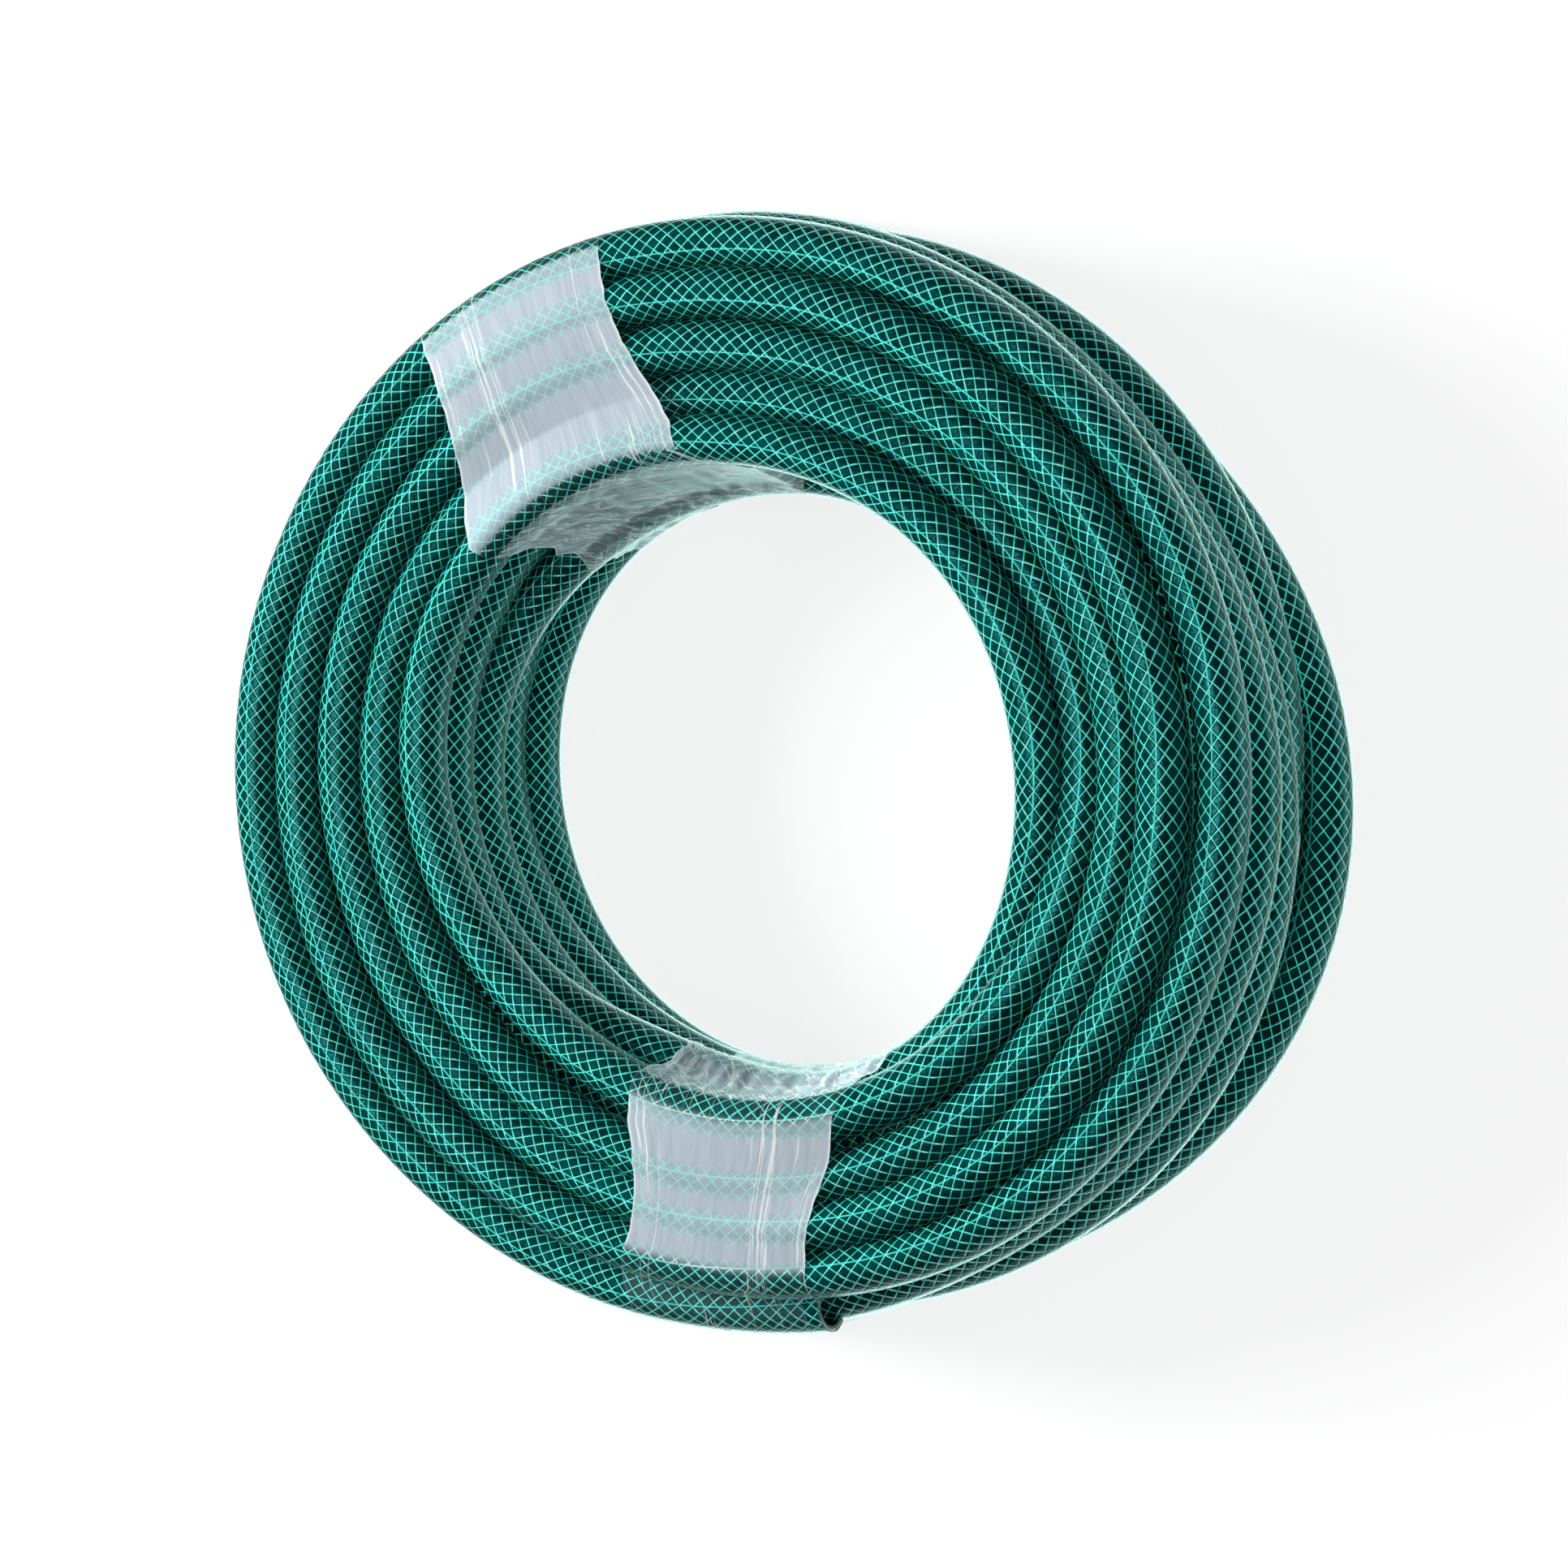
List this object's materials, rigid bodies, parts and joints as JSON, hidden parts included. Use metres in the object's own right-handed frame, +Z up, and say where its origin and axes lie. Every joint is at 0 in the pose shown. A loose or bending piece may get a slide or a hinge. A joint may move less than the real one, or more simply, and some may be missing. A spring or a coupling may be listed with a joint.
{
  "type": "garden hose coil",
  "caption": "Coil of translucent braid-reinforced garden hose with plain cut ends, wound flat in layers and held by stretch-film bands.",
  "frame": {"origin": "centre of the coil on the plane it rests on", "axes": "+Z up along the coil's axis, the face with the free hose end on top; -Y towards the lower film band and the free end"},
  "size_m": [0.3888, 0.3765, 0.0853],
  "materials": {
    "cover_pvc": "glossy translucent dark green flexible PVC",
    "braid_yarn": "turquoise synthetic yarn laid in crossing spirals",
    "tube_pvc": "grey-green flexible PVC liner",
    "film_lower": "milky clear stretch film, wrinkled",
    "film_upper": "milky clear stretch film, wrinkled"
  },
  "bodies": {
    "root": {"outer_cover": "cover_pvc", "braid_sleeve": "braid_yarn", "inner_tube": "tube_pvc", "film_band_lower": "film_lower", "film_band_upper": "film_upper"}
  },
  "joints": []
}
